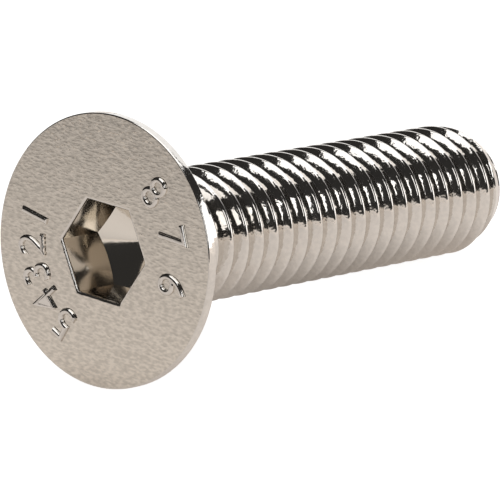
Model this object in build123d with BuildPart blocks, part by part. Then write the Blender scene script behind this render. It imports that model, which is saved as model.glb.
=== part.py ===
from build123d import *
import os
from math import atan2, cos, degrees, radians, sin, tan

# Countersunk socket screw, metric coarse M6 x 1, nominal length 25 mm.
# It is cold headed and thread rolled from one length of wire, so it is one solid.
# Millimetres. It lies on z = 0, on the edge of its head and the last whole crest of its thread,
# with its axis in the XZ plane, the head at -X and the tail at +X.
# The origin is on the ground under the middle of its length.

LENGTH = 24.6  # head face to tail end
HEAD_DIAMETER = 11.7
RIM_WIDTH = 0.43  # cylindrical edge between the head face and the countersink
COUNTERSINK_ANGLE = 90.0  # included

THREAD_DIAMETER = 5.9  # over the crests, in the middle of its tolerance
PITCH = 1.0
FLANK_ANGLE = 30.0  # each flank to the plane square to the axis
FLANK_DEPTH = 0.33 * PITCH  # how far down from the crest the flank keeps that angle
THREAD_DEPTH = 0.613 * PITCH  # crest to the bottom of the root
THREAD_START = 4.25  # first whole groove, where it faces away from the ground
RUNOUT = 0.7  # part of a turn over which that groove fades out

TAIL_LENGTH = 1.25  # rolled end, over which the crests taper
TAIL_DIAMETER = 4.68

SOCKET_ACROSS_FLATS = 4.02
SOCKET_DEPTH = 2.5  # down the corners of the hexagon
SOCKET_TIP_DEPTH = 3.1  # shallow cone left by the heading punch
SOCKET_EDGE = 0.07  # broken edge round the mouth
SOCKET_TURN = 31.3  # a corner of the hexagon to the line that faces the ground

OVERCUT = 0.06  # how far a cutting form stands out of the surface it cuts
LATHE_SEAM = 2.37  # degrees from the line that touches the ground to where the turned faces close
THREAD_SEAM = -2.95  # and to where one turn of thread joins the next
CREST_STOCK = 0.03  # left over the crests of the blank, for the grooves to meet in

head_radius = HEAD_DIAMETER / 2
thread_radius = THREAD_DIAMETER / 2
tail_start = LENGTH - TAIL_LENGTH
blank_radius = thread_radius + CREST_STOCK
countersink_end = RIM_WIDTH + (head_radius - blank_radius) / tan(radians(COUNTERSINK_ANGLE / 2))
tail_taper = (thread_radius - TAIL_DIAMETER / 2) / TAIL_LENGTH

# The turned form, standing on its head face with the axis on Z: rim, countersink, crest
# cylinder and tapered tail.
with BuildPart() as blank:
    with BuildSketch(Plane.XZ.rotated((0, 0, LATHE_SEAM))):
        with BuildLine():
            Polyline(
                (0, 0),
                (head_radius, 0),
                (head_radius, RIM_WIDTH),
                (blank_radius, countersink_end),
                (blank_radius, tail_start - CREST_STOCK / tail_taper),
                (TAIL_DIAMETER / 2, LENGTH),
                (0, LENGTH),
                close=True,
            )
        make_face()
    revolve(axis=Axis.Z)

# The groove between two crests, in its own plane: y is along the screw, x is outwards from
# the crest cylinder. Two slopes on each side stand for the straight flank and the round root.
flank_slope = tan(radians(FLANK_ANGLE))
mouth = PITCH / 2 + OVERCUT * flank_slope
flank_foot = PITCH / 2 - FLANK_DEPTH * flank_slope
with BuildSketch() as groove_section:
    with BuildLine():
        Polyline(
            (OVERCUT, mouth),
            (OVERCUT, -mouth),
            (-FLANK_DEPTH, -flank_foot),
            (-THREAD_DEPTH, 0),
            (-FLANK_DEPTH, flank_foot),
            close=True,
        )
    make_face()

# Half a right-hand turn of it. Next turns meet in a sharp crest.
with BuildPart() as groove_turn:
    with BuildLine() as turn_path:
        Helix(pitch=PITCH, height=PITCH / 2, radius=thread_radius)
    with BuildSketch(Plane((thread_radius, 0, 0), x_dir=(1, 0, 0), z_dir=(0, -1, 0))):
        add(groove_section)
    sweep(path=turn_path.wires()[0], is_frenet=True)

# The run-out, where the groove climbs out of the shank on a widening turn.
runout_height = RUNOUT * PITCH
runout_angle = degrees(atan2(THREAD_DEPTH + OVERCUT, runout_height))
with BuildPart() as groove_runout:
    with BuildLine() as runout_path:
        Helix(
            pitch=PITCH,
            height=runout_height,
            radius=thread_radius,
            direction=(0, 0, -1),
            cone_angle=runout_angle,
        )
    with BuildSketch(Plane((-thread_radius, 0, 0), x_dir=(-1, 0, 0), z_dir=(0, 1, 0))):
        add(groove_section)
    sweep(path=runout_path.wires()[0], is_frenet=True)

# The heading punch: a hexagon with a shallow point.
corner_radius = SOCKET_ACROSS_FLATS / 2 / cos(radians(30))
point_slope = (SOCKET_TIP_DEPTH - SOCKET_DEPTH) / corner_radius
punch_radius = corner_radius + OVERCUT
with BuildPart() as punch:
    with BuildSketch(Plane.XY.offset(-OVERCUT)):
        RegularPolygon(corner_radius, 6, rotation=SOCKET_TURN)
    extrude(amount=SOCKET_TIP_DEPTH + 2 * OVERCUT)
    with BuildSketch(Plane.XZ):
        with BuildLine():
            Polyline(
                (0, -2 * OVERCUT),
                (punch_radius, -2 * OVERCUT),
                (punch_radius, SOCKET_DEPTH - OVERCUT * point_slope),
                (0, SOCKET_TIP_DEPTH),
                close=True,
            )
        make_face()
    revolve(axis=Axis.Z, mode=Mode.INTERSECT)

# The whole thread: half turns one after the other, cut every fourth one together.
half_turns = int(2 * (LENGTH - THREAD_START) / PITCH) + 1
first_join = THREAD_START + PITCH * THREAD_SEAM / 360
joins = [
    Location((0, 0, first_join + PITCH * turn / 2), (0, 0, THREAD_SEAM + 180 * (turn + 1)))
    for turn in range(half_turns)
]
with BuildPart() as standing:
    add(blank)
    for group in range(4):
        with Locations(joins[group::4]):
            add(groove_turn, mode=Mode.SUBTRACT)
    with Locations(Location((0, 0, first_join), (0, 0, THREAD_SEAM))):
        add(groove_runout, mode=Mode.SUBTRACT)
    add(punch, mode=Mode.SUBTRACT)
    mouth_edges = standing.edges().filter_by(GeomType.LINE).group_by(Axis.Z)[0]
    chamfer(mouth_edges, length=SOCKET_EDGE)

# The lie: the back edge of the rim and the last whole crest touch the ground. Half a turn from
# a groove is a crest, so crests face the ground at whole pitches from the start of the thread.
last_crest = THREAD_START + PITCH * int((tail_start - THREAD_START) / PITCH)
lie_angle = atan2(head_radius - thread_radius, last_crest - RIM_WIDTH)
along = cos(lie_angle)
down = sin(lie_angle)
face_height = last_crest * down + thread_radius * along
head_reach = head_radius * down
tail_reach = LENGTH * along + TAIL_DIAMETER / 2 * down
face_offset = (head_reach - tail_reach) / 2

with BuildPart() as screw:
    with Locations(Location((face_offset, 0, face_height), (0, 90 + degrees(lie_angle), 0))):
        add(standing)
screw.part.label = "screw"

os.makedirs("parts", exist_ok=True)
export_step(screw.part, "parts/screw.step")
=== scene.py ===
from math import atan2, cos, hypot, pi, radians, sin, tan, tau

import bmesh
import bpy
from mathutils import Matrix, Vector


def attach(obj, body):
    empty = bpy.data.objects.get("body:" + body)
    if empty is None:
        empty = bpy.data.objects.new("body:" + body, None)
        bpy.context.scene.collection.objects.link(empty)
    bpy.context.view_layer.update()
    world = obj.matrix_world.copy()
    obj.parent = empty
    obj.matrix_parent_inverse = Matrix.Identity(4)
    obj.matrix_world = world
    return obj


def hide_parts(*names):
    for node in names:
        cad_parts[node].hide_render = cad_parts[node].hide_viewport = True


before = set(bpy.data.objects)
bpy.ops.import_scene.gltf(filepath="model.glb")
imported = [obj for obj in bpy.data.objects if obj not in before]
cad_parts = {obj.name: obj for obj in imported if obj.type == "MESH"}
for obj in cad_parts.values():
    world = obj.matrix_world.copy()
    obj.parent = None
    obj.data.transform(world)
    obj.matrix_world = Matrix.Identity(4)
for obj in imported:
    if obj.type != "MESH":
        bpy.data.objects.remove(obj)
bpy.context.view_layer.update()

bl_info = {
    "name": "Countersunk socket screw",
    "version": (1, 0, 0),
    "blender": (4, 5, 0),
    "location": "View3D > Sidebar > Screw",
    "description": "Builds a nickel-plated countersunk socket screw lying on a pale table",
    "category": "Object",
}

MM = 0.001


class ScrewSizes(bpy.types.PropertyGroup):
    """Sizes of the screw, standing on its head with the axis upwards.

    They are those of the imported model's source, with the roundings of a cold-headed and rolled
    screw added, and with the steeper cone that a heading punch leaves in the socket.
    """

    length: bpy.props.FloatProperty(
        name="Length", description="Head face to tail end",
        default=24.6 * MM, unit="LENGTH", precision=5)
    head_diameter: bpy.props.FloatProperty(
        name="Head diameter", description="Across the rim of the head",
        default=11.7 * MM, unit="LENGTH", precision=5)
    rim_width: bpy.props.FloatProperty(
        name="Rim width", description="Cylindrical edge between the face and the countersink",
        default=0.43 * MM, unit="LENGTH", precision=5)
    rim_round: bpy.props.FloatProperty(
        name="Rim rounding", description="Cold-headed rounding on both edges of the rim",
        default=0.06 * MM, unit="LENGTH", precision=5)
    neck_round: bpy.props.FloatProperty(
        name="Neck rounding", description="Hollow between the countersink and the shank",
        default=0.22 * MM, unit="LENGTH", precision=5)
    thread_diameter: bpy.props.FloatProperty(
        name="Thread diameter", description="Over the crests",
        default=5.9 * MM, unit="LENGTH", precision=5)
    pitch: bpy.props.FloatProperty(
        name="Pitch", description="Crest to crest along the screw",
        default=1.0 * MM, unit="LENGTH", precision=5)
    flank_crown: bpy.props.FloatProperty(
        name="Flank crown", description="Swell in the middle of a flank, from worn dies",
        default=0.017 * MM, unit="LENGTH", precision=5)
    thread_start: bpy.props.FloatProperty(
        name="Thread start", description="First whole groove, where it faces away from the ground",
        default=4.25 * MM, unit="LENGTH", precision=5)
    runout: bpy.props.FloatProperty(
        name="Run-out", description="Part of a turn over which that groove fades out",
        default=0.7)
    tail_length: bpy.props.FloatProperty(
        name="Tail length", description="Rolled end over which the crests taper",
        default=1.25 * MM, unit="LENGTH", precision=5)
    tail_diameter: bpy.props.FloatProperty(
        name="Tail diameter", description="Flat end of the tail",
        default=4.68 * MM, unit="LENGTH", precision=5)
    socket_across_flats: bpy.props.FloatProperty(
        name="Socket across flats", description="Key size of the hexagon",
        default=4.02 * MM, unit="LENGTH", precision=5)
    socket_depth: bpy.props.FloatProperty(
        name="Socket depth", description="Down the corners of the hexagon",
        default=2.3 * MM, unit="LENGTH", precision=5)
    socket_tip_depth: bpy.props.FloatProperty(
        name="Socket tip depth", description="Down to the middle of the cone that the punch leaves",
        default=3.42 * MM, unit="LENGTH", precision=5)
    socket_edge: bpy.props.FloatProperty(
        name="Socket edge", description="Rounded edge of the mouth",
        default=0.10 * MM, unit="LENGTH", precision=5)
    socket_turn: bpy.props.FloatProperty(
        name="Socket turn", description="A corner of the hexagon to the line that faces the ground",
        default=radians(31.3), subtype="ANGLE")
    mark_height: bpy.props.FloatProperty(
        name="Mark height", description="Height of the raised numerals",
        default=1.45 * MM, unit="LENGTH", precision=5)
    mark_radius: bpy.props.FloatProperty(
        name="Mark radius", description="Distance of the numerals from the axis",
        default=4.0 * MM, unit="LENGTH", precision=5)
    mark_relief: bpy.props.FloatProperty(
        name="Mark relief", description="How far the numerals stand out of the face",
        default=0.13 * MM, unit="LENGTH", precision=5)


def linear(hex_colour):
    """An sRGB hex value as linear red, green, blue and alpha."""
    channels = [int(hex_colour[i:i + 2], 16) / 255 for i in (1, 3, 5)]
    return [c / 12.92 if c <= 0.04045 else ((c + 0.055) / 1.055) ** 2.4 for c in channels] + [1.0]


class ScrewColours(bpy.types.PropertyGroup):
    """Colours of the plating and the table."""

    nickel: bpy.props.FloatVectorProperty(
        name="Nickel", description="Bright nickel plating", size=4,
        default=linear("#DDD9D4"), subtype="COLOR", min=0.0, max=1.0)
    thin_nickel: bpy.props.FloatVectorProperty(
        name="Thin nickel", description="Plating of the head face and the socket's walls", size=4,
        default=linear("#D8D2C9"), subtype="COLOR", min=0.0, max=1.0)
    # A lighter copy of the plating, used on the socket's bottom.
    lighter_nickel: bpy.props.FloatVectorProperty(
        name="Lighter nickel", description="Plating of the socket's bottom, lighter than that of its walls",
        size=4, default=linear("#E9E4DC"), subtype="COLOR", min=0.0, max=1.0)
    table: bpy.props.FloatVectorProperty(
        name="Table", description="Pale table top", size=4,
        default=linear("#BBBBBB"), subtype="COLOR", min=0.0, max=1.0)
    table_glow: bpy.props.FloatVectorProperty(
        name="Table glow", description="Warm white light of the table, where the metal shows it",
        size=4, default=linear("#FFF1E5"), subtype="COLOR", min=0.0, max=1.0)
    walls: bpy.props.FloatVectorProperty(
        name="Walls", description="Low pale walls round the table", size=4,
        default=linear("#EDE6DF"), subtype="COLOR", min=0.0, max=1.0)
    ceiling: bpy.props.FloatVectorProperty(
        name="Ceiling", description="Dark studio above the lamps", size=4,
        default=linear("#302F2E"), subtype="COLOR", min=0.0, max=1.0)


TURN_STEPS = 96  # faces round the screw, a multiple of the socket's six sides
MERGE = 0.001 * MM  # corners closer than this become one
NEAR = 2 * MERGE  # the same where turns of thread meet, and for edges at a wanted height

FLANK_ANGLE = radians(30)  # each flank to the plane square to the axis
CREST_SHARE = 1 / 6  # crest width as a part of the pitch, before it is rounded
DEPTH_SHARE = 0.613  # thread depth as a part of the pitch

FACE_FIELD = 3.0 * MM  # radius on the head face inside which it is joined to the socket's mouth
SHANK_STUB = 0.2 * MM  # plain shank that the head's mesh has past the countersink
STUB_GAP = 0.03 * MM  # gap between that and the thread's mesh, closed when both are there
TAIL_ROW = 0.2 * MM  # a row of faces this wide keeps the tail end flat inside its edge
SHARP_ANGLE = radians(32)  # faces that meet at a larger angle keep a sharp edge between them

# Material slots of the screw's body.
PLATED, SOCKET_BOTTOM, HEAD_FACE, SOCKET_WALL = range(4)


def last_crest(size):
    """Distance from the face to the last whole crest, on the line that faces the ground."""
    whole = int((size.length - size.tail_length - size.thread_start) / size.pitch)
    return size.thread_start + whole * size.pitch


def lying(size):
    """Places the standing screw on the table, on its rim and its last whole crest."""
    crest = last_crest(size)
    radius = size.thread_diameter / 2
    drop = atan2(size.head_diameter / 2 - radius, crest - size.rim_width)
    height = crest * sin(drop) + radius * cos(drop)
    head_reach = size.head_diameter / 2 * sin(drop)
    tail_reach = size.length * cos(drop) + size.tail_diameter / 2 * sin(drop)
    offset = (head_reach - tail_reach) / 2
    return Matrix.Translation((offset, 0, height)) @ Matrix.Rotation(pi / 2 + drop, 4, "Y")


# ---- meshes -------------------------------------------------------------------------------


def wire(bm, points):
    """A chain of edges through points of (radius, height) on the plane y = 0."""
    verts = [bm.verts.new((radius, 0, height)) for radius, height in points]
    edges = [bm.edges.new(pair) for pair in zip(verts, verts[1:])]
    return verts + edges


def arc(centre, radius, start, end, steps):
    """Points of (along, depth) on an arc, with angles from the direction of depth."""
    turns = [start + (end - start) * i / steps for i in range(steps + 1)]
    return [(centre[0] + radius * sin(turn), centre[1] + radius * cos(turn)) for turn in turns]


def groove_half(size):
    """Half a groove as (along, depth), from the middle of the root to the top of the crest."""
    half = size.pitch / 2
    crest = size.pitch * CREST_SHARE / 2
    depth = size.pitch * DEPTH_SHARE
    root_round = (half - crest) / tan(FLANK_ANGLE) - depth
    root = arc((0, depth - root_round), root_round, 0, pi / 2 - FLANK_ANGLE, 4)
    crest_round = crest * cos(FLANK_ANGLE) / (1 - sin(FLANK_ANGLE))
    top = arc((half, crest_round), crest_round, -pi / 2 - FLANK_ANGLE, -pi, 4)
    foot = Vector(root[-1])
    along = Vector(top[0]) - foot
    outwards = Vector((along.y, -along.x)).normalized()
    steps = 6
    flank = [
        tuple(foot + along * (i / steps) + outwards * size.flank_crown * sin(pi * i / steps))
        for i in range(1, steps)
    ]
    return root + flank + top


def threaded_shank(bm, size, neck):
    """The rolled thread, from a height near the neck to the flat tail end.

    One groove is spun into one turn, and the turn is copied along the screw. Then its crests are
    pulled in over the tail, and the first groove is filled up over its run-out.
    """
    radius = size.thread_diameter / 2
    half = groove_half(size)
    groove = [(-along, depth) for along, depth in reversed(half[1:])] + half
    spare_turns = 1.5  # below the first whole groove, trimmed at the neck
    start = size.thread_start - size.pitch * spare_turns
    profile = wire(bm, [(radius - depth, start + along) for along, depth in groove])
    bmesh.ops.spin(bm, geom=profile, cent=(0, 0, 0), axis=(0, 0, 1), angle=tau,
                   dvec=(0, 0, size.pitch / TURN_STEPS), steps=TURN_STEPS)
    one_turn = bm.verts[:] + bm.edges[:] + bm.faces[:]
    for turn in range(1, int((size.length - start) / size.pitch) + 2):
        copied = bmesh.ops.duplicate(bm, geom=one_turn)["geom"]
        bmesh.ops.translate(bm, vec=(0, 0, turn * size.pitch),
                            verts=[g for g in copied if isinstance(g, bmesh.types.BMVert)])
    bmesh.ops.remove_doubles(bm, verts=bm.verts, dist=NEAR)
    for height, drop in ((neck, "inner"), (size.length, "outer")):
        bmesh.ops.bisect_plane(bm, geom=bm.verts[:] + bm.edges[:] + bm.faces[:], dist=MERGE,
                               plane_co=(0, 0, height), plane_no=(0, 0, 1),
                               clear_inner=drop == "inner", clear_outer=drop == "outer")
    tail_start = size.length - size.tail_length
    taper = (radius - size.tail_diameter / 2) / size.tail_length
    climb = size.pitch * DEPTH_SHARE / size.runout
    for vert in bm.verts:
        reach = hypot(vert.co.x, vert.co.y)
        # Turns of thread since the first whole groove, the same for all points across a groove.
        turns = (vert.co.z - size.thread_start) / size.pitch
        across = turns - atan2(vert.co.y, vert.co.x) / tau + 0.5
        turns -= across - round(across)
        wanted = min(radius, reach + max(0, -turns) * climb)
        wanted = min(wanted, radius - max(0, vert.co.z - tail_start) * taper)
        vert.co.x *= wanted / reach
        vert.co.y *= wanted / reach
    tail = bmesh.ops.edgeloop_fill(bm, edges=open_loops(bm, size.length))["faces"]
    bmesh.ops.inset_region(bm, faces=tail, thickness=TAIL_ROW)


def rings_at(bm, height, radius):
    """The edges of the full circle at a height and radius."""
    return [e for e in bm.edges
            if all(abs(v.co.z - height) < NEAR and abs(hypot(v.co.x, v.co.y) - radius) < NEAR
                   for v in e.verts)]


def countersink_end(size):
    """Height at which the countersink, of 90 degrees in all, meets the shank."""
    return size.rim_width + (size.head_diameter - size.thread_diameter) / 2


def turned_head(bm, size):
    """The outer face, the rim, the countersink and the hollow at the neck."""
    rim = size.head_diameter / 2
    shank = size.thread_diameter / 2
    cone_end = countersink_end(size)
    beside = 1.3 * size.rim_round  # a row of faces there keeps the flat parts flat
    outline = wire(bm, [
        (FACE_FIELD, 0),
        (rim - beside, 0),
        (rim, 0),
        (rim, size.rim_width),
        (rim - beside, size.rim_width + beside),
        (shank, cone_end),
        (shank, cone_end + SHANK_STUB),
    ])
    bmesh.ops.spin(bm, geom=outline, cent=(0, 0, 0), axis=(0, 0, 1), angle=tau,
                   steps=TURN_STEPS, use_merge=True)
    bmesh.ops.remove_doubles(bm, verts=bm.verts, dist=MERGE)
    # Each edge: its height and radius, how far its rounding reaches from it, and its segments.
    for height, radius, offset, segments in (
        (0, rim, size.rim_round, 6),
        (size.rim_width, rim, size.rim_round * tan(radians(22.5)), 4),
        (cone_end, shank, size.neck_round, 4),
    ):
        bmesh.ops.bevel(bm, geom=rings_at(bm, height, radius), offset=offset, segments=segments,
                        profile=0.5, affect="EDGES", material=-1)


def open_loops(bm, height):
    """The open edges that lie at a height."""
    return [e for e in bm.edges
            if e.is_boundary and all(abs(v.co.z - height) < NEAR for v in e.verts)]


def extrude_ring(bm, ring, scale, height):
    """Pulls a ring of edges on to a scaled copy of itself at another height.

    The height is a number, or a function that gives it for a vertex.
    """
    made = bmesh.ops.extrude_edge_only(bm, edges=ring)["geom"]
    verts = [g for g in made if isinstance(g, bmesh.types.BMVert)]
    bmesh.ops.scale(bm, vec=(scale, scale, 1), verts=verts)
    for vert in verts:
        vert.co.z = height(vert) if callable(height) else height
    return [g for g in made if isinstance(g, bmesh.types.BMEdge) and g.is_boundary]


def hexagon_socket(bm, size):
    """The hexagon, from its rounded edge down to the cone of the heading punch.

    Each ring is the hexagon's outline times a share, which is 1 on the walls.
    """
    corner = size.socket_across_flats / 2 / cos(radians(30))
    opened = 1 + size.socket_edge / (size.socket_across_flats / 2)
    slope = (size.socket_tip_depth - size.socket_depth) / corner
    beside = opened + 0.02  # a row of faces that keeps the head face flat at the edge
    made = bmesh.ops.create_circle(bm, segments=6, radius=corner * beside,
                                   matrix=Matrix.Rotation(size.socket_turn - pi / 2, 4, "Z"))
    ring = [e for e in bm.edges if all(v in made["verts"] for v in e.verts)]
    bmesh.ops.subdivide_edges(bm, edges=ring, cuts=TURN_STEPS // 6 - 1)
    ring = [e for e in bm.edges if e.is_wire]

    def floor(vert):
        return size.socket_tip_depth - slope * hypot(vert.co.x, vert.co.y)

    ring = extrude_ring(bm, ring, opened / beside, 0)
    edge_steps = 3
    share = opened
    for i in range(1, edge_steps + 1):
        turn = pi / 2 * i / edge_steps
        wanted = 1 + (opened - 1) * (1 - sin(turn))
        ring = extrude_ring(bm, ring, wanted / share, size.socket_edge * (1 - cos(turn)))
        share = wanted
    ring = extrude_ring(bm, ring, 1, size.socket_edge * 1.6)  # keeps the walls flat at the edge
    ring = extrude_ring(bm, ring, 1, floor)
    # The bottom's rings, from close to the walls to close to the tip.
    share = 1
    for wanted in (0.97, 0.8, 0.6, 0.4, 0.2, 0.07):
        ring = extrude_ring(bm, ring, wanted / share, floor)
        share = wanted
    tip = bmesh.ops.edgeloop_fill(bm, edges=ring)["faces"]
    bmesh.ops.poke(bm, faces=tip)
    bm.normal_update()
    for face in bm.faces:
        if face.calc_center_median().z > size.socket_edge:
            upright = abs(face.normal.z) < 0.1
            face.material_index = SOCKET_WALL if upright else SOCKET_BOTTOM


def whole_head(size):
    """The turned head with its socket, open where the thread follows."""
    bm = bmesh.new()
    hexagon_socket(bm, size)
    turned_head(bm, size)
    bmesh.ops.bridge_loops(bm, edges=open_loops(bm, 0))
    for face in bm.faces:
        if face.calc_center_median().z < MERGE:
            face.material_index = HEAD_FACE
    return bm


def add_bmesh(bm, part):
    """Moves another bmesh into this one."""
    mesh = bpy.data.meshes.new("part")
    part.to_mesh(mesh)
    part.free()
    bm.from_mesh(mesh)
    bpy.data.meshes.remove(mesh)


def finish_piece(name, bm, size, materials):
    """Lays a standing bmesh on the table and makes it an object of the part."""
    bmesh.ops.transform(bm, matrix=lying(size), verts=bm.verts)
    mesh = bpy.data.meshes.new(name)
    bm.to_mesh(mesh)
    bm.free()
    mesh.shade_smooth()
    mesh.set_sharp_from_angle(angle=SHARP_ANGLE)
    for material in materials:
        mesh.materials.append(material)
    piece = bpy.data.objects.new(name, mesh)
    bpy.context.scene.collection.objects.link(piece)
    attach(piece, "root")
    return piece


# Each row of numerals: its side as seen on the face, its digits, and in degrees the place of the
# first, from the line that faces the ground, and the step to the next.
NUMERAL_ROWS = (
    ("left", "12345", 101, -18.3),
    ("right", "678", 280, -30),
)
DIGIT_SHARE = 0.7  # height of a digit as a part of its font's size
STROKE_ROUND = 0.9  # how much of the relief of a stroke is rounded
STROKE_THIN = 0.65  # how far a stroke is thinned before that, as a part of the relief


def numerals(size, text, first, spacing):
    """Raised digits round the face, tops outwards, as one bmesh on the standing screw."""
    bm = bmesh.new()
    for i, digit in enumerate(text):
        curve = bpy.data.curves.new("numeral", "FONT")
        curve.body = digit
        curve.align_x = "CENTER"
        curve.size = size.mark_height / DIGIT_SHARE
        curve.extrude = size.mark_relief * (1 - STROKE_ROUND)
        curve.bevel_depth = size.mark_relief * STROKE_ROUND
        curve.bevel_resolution = 4
        curve.offset = -size.mark_relief * STROKE_THIN
        letter = bpy.data.objects.new("numeral", curve)
        bpy.context.scene.collection.objects.link(letter)
        bpy.context.view_layer.update()
        mesh = bpy.data.meshes.new_from_object(letter)
        turn = first + spacing * i
        mesh.transform(
            Matrix.Rotation(turn, 4, "Z")
            @ Matrix.Translation((size.mark_radius, 0, 0))
            @ Matrix.Rotation(-pi / 2, 4, "Z")
            @ Matrix.Rotation(pi, 4, "Y")
            @ Matrix.Translation((0, -size.mark_height / 2, 0)))
        bm.from_mesh(mesh)
        bpy.data.objects.remove(letter)
        bpy.data.curves.remove(curve)
        bpy.data.meshes.remove(mesh)
    bmesh.ops.remove_doubles(bm, verts=bm.verts, dist=MERGE)
    bmesh.ops.recalc_face_normals(bm, faces=bm.faces)
    return bm


# ---- materials ----------------------------------------------------------------------------


def node(tree, kind, inputs=None, **settings):
    """Adds a node, sets it up, and links or sets its inputs by name or number."""
    made = tree.nodes.new(kind)
    for key, value in settings.items():
        setattr(made, key, value)
    for key, value in (inputs or {}).items():
        if isinstance(value, bpy.types.NodeSocket):
            tree.links.new(value, made.inputs[key])
        else:
            made.inputs[key].default_value = value
    return made


def new_material(name):
    """An empty material and its node tree."""
    material = bpy.data.materials.new(name)
    material.use_nodes = True
    material.node_tree.nodes.clear()
    return material, material.node_tree


NOISE_LOW, NOISE_HIGH = 0.35, 0.65  # nearly all of a noise texture lies between these


def nickel_plate(colour, name, ripple_height, ripple_length=0.2 * MM, across=1.0, painted_shading=0.0,
                 roughness=0.08):
    """Bright nickel, barrel plated on cold-headed steel.

    It mirrors the room with a slightly warm grey cast. The plating follows the steel under it, so
    a ripple like orange peel wobbles what it mirrors, and painted shade darkens its lower spots and
    painted light brightens its higher ones a little.
    A value of across under 1 draws the ripples out along Y.
    """
    material, tree = new_material(name)
    place = node(tree, "ShaderNodeTexCoord").outputs["Object"]
    place = node(tree, "ShaderNodeVectorMath", {0: place, 1: (1.0, across, 1.0)},
                 operation="MULTIPLY").outputs["Vector"]
    ripple = node(tree, "ShaderNodeTexNoise",
                  {"Vector": place, "Scale": 1 / ripple_length, "Detail": 1.0, "Roughness": 0.5})
    bump = node(tree, "ShaderNodeBump",
                {"Strength": 1.0, "Distance": ripple_height, "Height": ripple.outputs["Fac"]})
    # Painted shade and light: the colour is darker in the ripple's low spots and lighter on its
    # high ones.
    if painted_shading:
        worn = node(tree, "ShaderNodeMapRange",
                    {"Value": ripple.outputs["Fac"], "From Min": NOISE_LOW, "From Max": NOISE_HIGH,
                     "To Min": 1 - painted_shading, "To Max": 1 + painted_shading}).outputs["Result"]
        colour = node(tree, "ShaderNodeMix", {"Factor": 1.0, "A": colour, "B": worn},
                      data_type="RGBA", blend_type="MULTIPLY").outputs["Result"]
    shader = node(tree, "ShaderNodeBsdfPrincipled",
                  {"Base Color": colour, "Metallic": 1.0, "Roughness": roughness,
                   "Normal": bump.outputs["Normal"]})
    node(tree, "ShaderNodeOutputMaterial", {"Surface": shader.outputs["BSDF"]})
    return material


def screw_plating(colours):
    """The screw's platings, in the order of its material slots."""
    return [
        # Rolled and turned surfaces: a sharp mirror with a tremble in its edges, and faint painted
        # shade and light in its ripples.
        nickel_plate(colours.nickel, "bright nickel, barrel plated", ripple_height=0.007 * MM,
                     painted_shading=0.04),
        # The socket's bottom: a calm and clean mirror.
        nickel_plate(colours.lighter_nickel, "bright nickel, punched hollow",
                     ripple_height=0.0012 * MM),
        # The head face: short ripples lie across it, from the blows of the header, with painted
        # shade and light on them.
        nickel_plate(colours.thin_nickel, "bright nickel, headed face", ripple_height=0.010 * MM,
                     ripple_length=0.11 * MM, across=0.4, painted_shading=0.12),
        # The socket's walls: the punch dragged along them, so their mirror is softer.
        nickel_plate(colours.thin_nickel, "bright nickel, dragged by the punch",
                     ripple_height=0.0012 * MM, roughness=0.12),
    ]


TABLE_WHITE = 0.90  # light that the table adds where it is seen, which lamps bring to white
# Painted light on the table as the metal mirrors it: dim round a spot beyond the head, brighter
# away from it.
DIM_SPOT = (-0.16, 0.12, 0)  # middle of a painted dark patch in the table's mirrored light, beyond the head, in metres
DIM_LIGHT = 0.09
BRIGHT_REACH = 0.40  # metres from there to where it is brightest
BRIGHT_LIGHT = 0.85
SHADOW_REACH = 0.006  # metres to each side of the screw, of the painted shadow
SHADOW_SLENDER = 0.35  # width of the painted shadow as a part of its length
SHADOW_LIGHT = 0.45  # share of the painted light that is left right under the screw


def table_top(colours):
    """White laminate, matt, which shows only the shadow of what lies on it.

    The metal mirrors it as warm white, with painted light that is darker towards a spot beyond the
    head, and with a painted shadow of the screw under it, which gives the lower half of the thread
    its soft dark edge.
    """
    material, tree = new_material("white laminate, matt")
    path = node(tree, "ShaderNodeLightPath")
    mirrored = node(tree, "ShaderNodeMath", {0: path.outputs["Is Glossy Ray"],
                                             1: path.outputs["Is Transmission Ray"]},
                    operation="MAXIMUM")
    place = node(tree, "ShaderNodeTexCoord").outputs["Object"]
    away = node(tree, "ShaderNodeVectorMath", {0: place, 1: DIM_SPOT},
                operation="DISTANCE").outputs["Value"]
    # Painted light: the glow that the metal mirrors is dim round DIM_SPOT and grows brighter away
    # from it.
    lit = node(tree, "ShaderNodeMapRange",
               {"Value": away, "From Min": 0.0, "From Max": BRIGHT_REACH,
                "To Min": DIM_LIGHT, "To Max": BRIGHT_LIGHT}).outputs["Result"]
    # Painted shadow: that glow is darker in a narrow patch right under the screw.
    beside = node(tree, "ShaderNodeVectorMath", {0: place, 1: (SHADOW_SLENDER, 1.0, 1.0)},
                  operation="MULTIPLY").outputs["Vector"]
    beside = node(tree, "ShaderNodeVectorMath", {0: beside}, operation="LENGTH").outputs["Value"]
    shade = node(tree, "ShaderNodeMapRange",
                 {"Value": beside, "From Min": 0.0, "From Max": SHADOW_REACH,
                  "To Min": SHADOW_LIGHT, "To Max": 1.0}).outputs["Result"]
    glow = node(tree, "ShaderNodeMath", {0: lit, 1: shade}, operation="MULTIPLY")
    glow = node(tree, "ShaderNodeMath", {0: mirrored.outputs[0], 1: glow.outputs[0]},
                operation="MULTIPLY")
    glow = node(tree, "ShaderNodeMath", {0: path.outputs["Is Camera Ray"], 1: TABLE_WHITE,
                                         2: glow.outputs[0]}, operation="MULTIPLY_ADD")
    tint = node(tree, "ShaderNodeMix", {"Factor": mirrored.outputs[0], "A": (1, 1, 1, 1),
                                        "B": colours.table_glow}, data_type="RGBA")
    shader = node(tree, "ShaderNodeBsdfPrincipled",
                  {"Base Color": colours.table, "Roughness": 0.6, "Specular IOR Level": 0.0,
                   "Emission Color": tint.outputs["Result"], "Emission Strength": glow.outputs[0]})
    node(tree, "ShaderNodeOutputMaterial", {"Surface": shader.outputs["BSDF"]})
    return material


# ---- stage --------------------------------------------------------------------------------


TABLE_REACH = 3.0  # metres from the screw to each side


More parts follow.
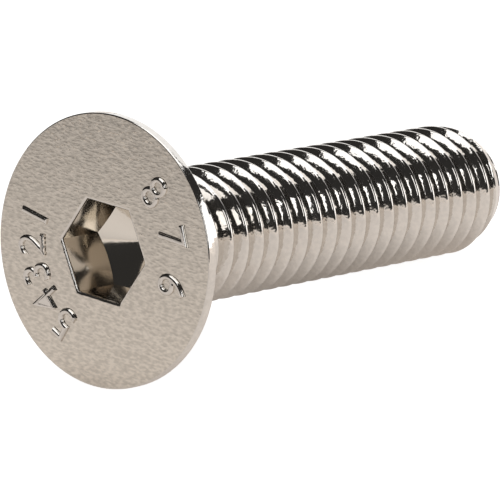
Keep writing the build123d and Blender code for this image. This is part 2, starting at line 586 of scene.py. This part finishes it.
def table_sheet(colours):
    """The pale table top under the screw."""
    bm = bmesh.new()
    bmesh.ops.create_grid(bm, x_segments=1, y_segments=1, size=TABLE_REACH)
    mesh = bpy.data.meshes.new("table")
    bm.to_mesh(mesh)
    bm.free()
    mesh.materials.append(table_top(colours))
    sheet = bpy.data.objects.new("table", mesh)
    bpy.context.scene.collection.objects.link(sheet)
    return sheet


# Each softbox: its name, where its middle is and the spot that it faces in metres, its width and
# height in metres, and how many times brighter than white paper it is.
SOFTBOXES = (
    ("top_softbox", (0.033, 0.016, 0.252), (0.033, 0.071, 0.0), 0.48, 0.203, 1.63),
    ("front_softbox", (-0.313, -0.118, 0.103), (0.0, 0.0, 0.0), 0.048, 0.105, 2.32),
    ("side_softbox", (-0.148, -0.268, 0.170), (0.0, 0.0, 0.0), 0.11, 0.16, 1.98),
    ("right_softbox", (0.245, -0.237, 0.079), (0.0, 0.0, 0.0), 0.22, 0.14, 1.98),
    ("back_softbox", (0.275, 0.159, 0.148), (0.0, 0.0, 0.0), 0.44, 0.26, 1.12),
)


def softbox(name, middle, target, width, height, brightness):
    """A rectangular lamp with two level edges."""
    light = bpy.data.lights.new(name, "AREA")
    light.shape = "RECTANGLE"
    light.size = width
    light.size_y = height
    light.energy = brightness * pi * width * height
    lamp = bpy.data.objects.new(name, light)
    lamp.location = middle
    lamp.rotation_euler = (Vector(middle) - Vector(target)).to_track_quat("Z", "Y").to_euler()
    lamp.visible_camera = False
    bpy.context.scene.collection.objects.link(lamp)


def direction(azimuth, elevation):
    """A unit vector from degrees anticlockwise from +X and degrees above the table."""
    level = cos(radians(elevation))
    return Vector((level * cos(radians(azimuth)), level * sin(radians(azimuth)),
                   sin(radians(elevation))))


WALL_ANGLE = 2  # degrees above the table at which the walls end
WALL_BLUR = 0.01  # height over which they fade, on a sphere of radius 1


def room(colours):
    """White walls up to a low height, and a dark ceiling above them."""
    world = bpy.data.worlds.new("studio")
    world.use_nodes = True
    tree = world.node_tree
    tree.nodes.clear()
    place = node(tree, "ShaderNodeTexCoord").outputs["Generated"]
    height = node(tree, "ShaderNodeSeparateXYZ", {0: place}).outputs["Z"]
    wall_top = sin(radians(WALL_ANGLE))
    above = node(tree, "ShaderNodeMapRange", {"Value": height, "From Min": wall_top - WALL_BLUR,
                                              "From Max": wall_top + WALL_BLUR})
    colour = node(tree, "ShaderNodeMix",
                  {"Factor": above.outputs["Result"], "A": colours.walls, "B": colours.ceiling},
                  data_type="RGBA")
    light = node(tree, "ShaderNodeBackground", {"Color": colour.outputs["Result"], "Strength": 1.0})
    node(tree, "ShaderNodeOutputWorld", {"Surface": light.outputs["Background"]})
    bpy.context.scene.world = world


CAMERA_SPOT = Vector((-155.487, -128.931, 70.585)) * MM
CAMERA_AZIMUTH = 220.105  # where the camera stands, in degrees as for the softboxes
CAMERA_ELEVATION = 18.541
CAMERA_LENS = 349.6  # millimetres, on the usual 36 mm sensor


def camera():
    """A long lens that looks down on the face of the head."""
    data = bpy.data.cameras.new("camera")
    data.lens = CAMERA_LENS
    data.sensor_width = 36
    data.clip_start = 10 * MM
    view = bpy.data.objects.new("camera", data)
    view.location = CAMERA_SPOT
    backwards = direction(CAMERA_AZIMUTH, CAMERA_ELEVATION)
    view.rotation_euler = backwards.to_track_quat("Z", "Y").to_euler()
    bpy.context.scene.collection.objects.link(view)
    bpy.context.scene.camera = view


# ---- operators ----------------------------------------------------------------------------


class SCREW_OT_body(bpy.types.Operator):
    """Builds the head, socket and rolled thread as one closed mesh"""

    bl_idname = "screw.body"
    bl_label = "Screw body"

    def execute(self, context):
        size = context.scene.screw_sizes
        neck = countersink_end(size) + SHANK_STUB
        thread_end = neck + STUB_GAP
        bm = bmesh.new()
        threaded_shank(bm, size, thread_end)
        add_bmesh(bm, whole_head(size))
        bmesh.ops.bridge_loops(bm, edges=open_loops(bm, neck) + open_loops(bm, thread_end))
        bmesh.ops.recalc_face_normals(bm, faces=bm.faces)
        gaps = sum(not e.is_manifold for e in bm.edges)
        if gaps:
            raise RuntimeError(f"the screw body has {gaps} open edges")
        piece = finish_piece("screw_body", bm, size, screw_plating(context.scene.screw_colours))
        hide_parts("screw")
        return {"FINISHED"}


class SCREW_OT_numerals(bpy.types.Operator):
    """Adds the two rows of raised plain numerals on the head face"""

    bl_idname = "screw.numerals"
    bl_label = "Numerals"

    def execute(self, context):
        size = context.scene.screw_sizes
        body = bpy.data.objects["screw_body"]
        for side, text, first, spacing in NUMERAL_ROWS:
            bm = numerals(size, text, radians(first), radians(spacing))
            finish_piece("numerals_" + side, bm, size, [body.data.materials[PLATED]])
        return {"FINISHED"}


class SCREW_OT_stage(bpy.types.Operator):
    """Sets the table, the softboxes, the room and the camera"""

    bl_idname = "screw.stage"
    bl_label = "Stage"

    def execute(self, context):
        scene = context.scene
        colours = scene.screw_colours
        table = table_sheet(colours)
        for lamp in SOFTBOXES:
            softbox(*lamp)
        room(colours)
        camera()
        scene.view_settings.view_transform = "Standard"
        return {"FINISHED"}


class SCREW_PT_panel(bpy.types.Panel):
    """Lists the steps and the sizes and colours that they use"""

    bl_label = "Countersunk socket screw"
    bl_space_type = "VIEW_3D"
    bl_region_type = "UI"
    bl_category = "Screw"

    def draw(self, context):
        for kind in OPERATORS:
            self.layout.operator(kind.bl_idname)
        for group in (context.scene.screw_sizes, context.scene.screw_colours):
            box = self.layout.box()
            for name in group.__annotations__:
                box.prop(group, name)


OPERATORS = (SCREW_OT_body, SCREW_OT_numerals, SCREW_OT_stage)
CLASSES = (ScrewSizes, ScrewColours) + OPERATORS + (SCREW_PT_panel,)


def register():
    for kind in CLASSES:
        bpy.utils.register_class(kind)
    bpy.types.Scene.screw_sizes = bpy.props.PointerProperty(type=ScrewSizes)
    bpy.types.Scene.screw_colours = bpy.props.PointerProperty(type=ScrewColours)


def unregister():
    del bpy.types.Scene.screw_colours
    del bpy.types.Scene.screw_sizes
    for kind in reversed(CLASSES):
        bpy.utils.unregister_class(kind)


def main():
    register()
    bpy.ops.screw.body()
    bpy.ops.screw.numerals()
    bpy.ops.screw.stage()


if __name__ == "__main__":
    main()
